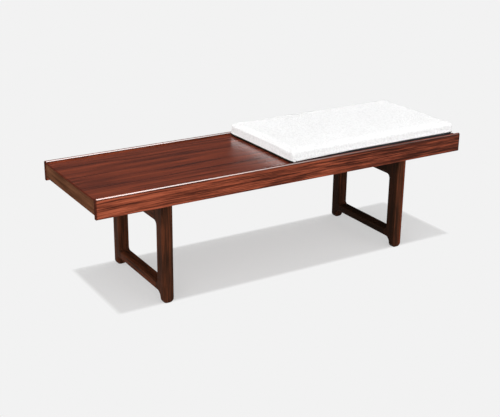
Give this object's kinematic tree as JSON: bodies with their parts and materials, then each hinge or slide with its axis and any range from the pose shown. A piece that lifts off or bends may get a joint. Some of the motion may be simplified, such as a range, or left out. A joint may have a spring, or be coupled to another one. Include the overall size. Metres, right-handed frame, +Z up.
{
  "type": "bench coffee table",
  "caption": "Long low wooden bench table with a lipped tray top on leg frames, and a white seat cushion on a sliding base board.",
  "frame": {"origin": "on the floor, under the middle of the bench's outline", "axes": "+X along the bench towards the cushion's end, +Y across it towards the back rail, +Z up"},
  "size_m": [1.204, 0.36, 0.381],
  "materials": {
    "rail_wood": "satin lacquer, dark red-brown, streaked",
    "end_wood": "matt oil, brown",
    "top_veneer": "gloss lacquer, red-brown, grain along the length",
    "underside_veneer": "plain sanded veneer",
    "core_wood": "bare softwood blockboard",
    "dowel_wood": "bare beech",
    "leg_wood": "satin oil, very dark red-brown",
    "bolt_steel": "zinc plated",
    "insert_brass": "plain",
    "black_board": "black painted plywood",
    "foam": "open foam",
    "cushion_fabric": "white fine woven wool"
  },
  "bodies": {
    "bench": {"front_rail": "rail_wood", "back_rail": "rail_wood", "left_end_rail": "end_wood", "right_end_rail": "end_wood", "top_veneer": "top_veneer", "underside_veneer": "underside_veneer", "top_core": "core_wood", "front_tongue": "core_wood", "back_tongue": "core_wood", "corner_dowels": "dowel_wood", "lipping_dowels": "dowel_wood", "stretcher_dowels": "dowel_wood", "bearer_dowels": "dowel_wood", "left_front_leg": "leg_wood", "left_back_leg": "leg_wood", "right_front_leg": "leg_wood", "right_back_leg": "leg_wood", "left_stretcher": "leg_wood", "right_stretcher": "leg_wood", "left_bearer": "leg_wood", "right_bearer": "leg_wood", "frame_bolts": "bolt_steel", "bolt_washers": "bolt_steel", "bolt_inserts": "insert_brass"},
    "pad_base": {"base_board": "black_board"},
    "cushion": {"cushion_foam": "foam", "cushion_bottom_cover": "cushion_fabric", "cushion_border": "cushion_fabric", "cushion_top_cover": "cushion_fabric"}
  },
  "joints": [
    {"name": "pad_slide", "type": "slide", "parent": "bench", "child": "pad_base", "axis": [1, 0, 0], "range_m": [-0.586, 0]},
    {"name": "cushion_lift", "type": "slide", "parent": "pad_base", "child": "cushion", "axis": [0, 0, 1], "range_m": [0, 0.2]}
  ]
}
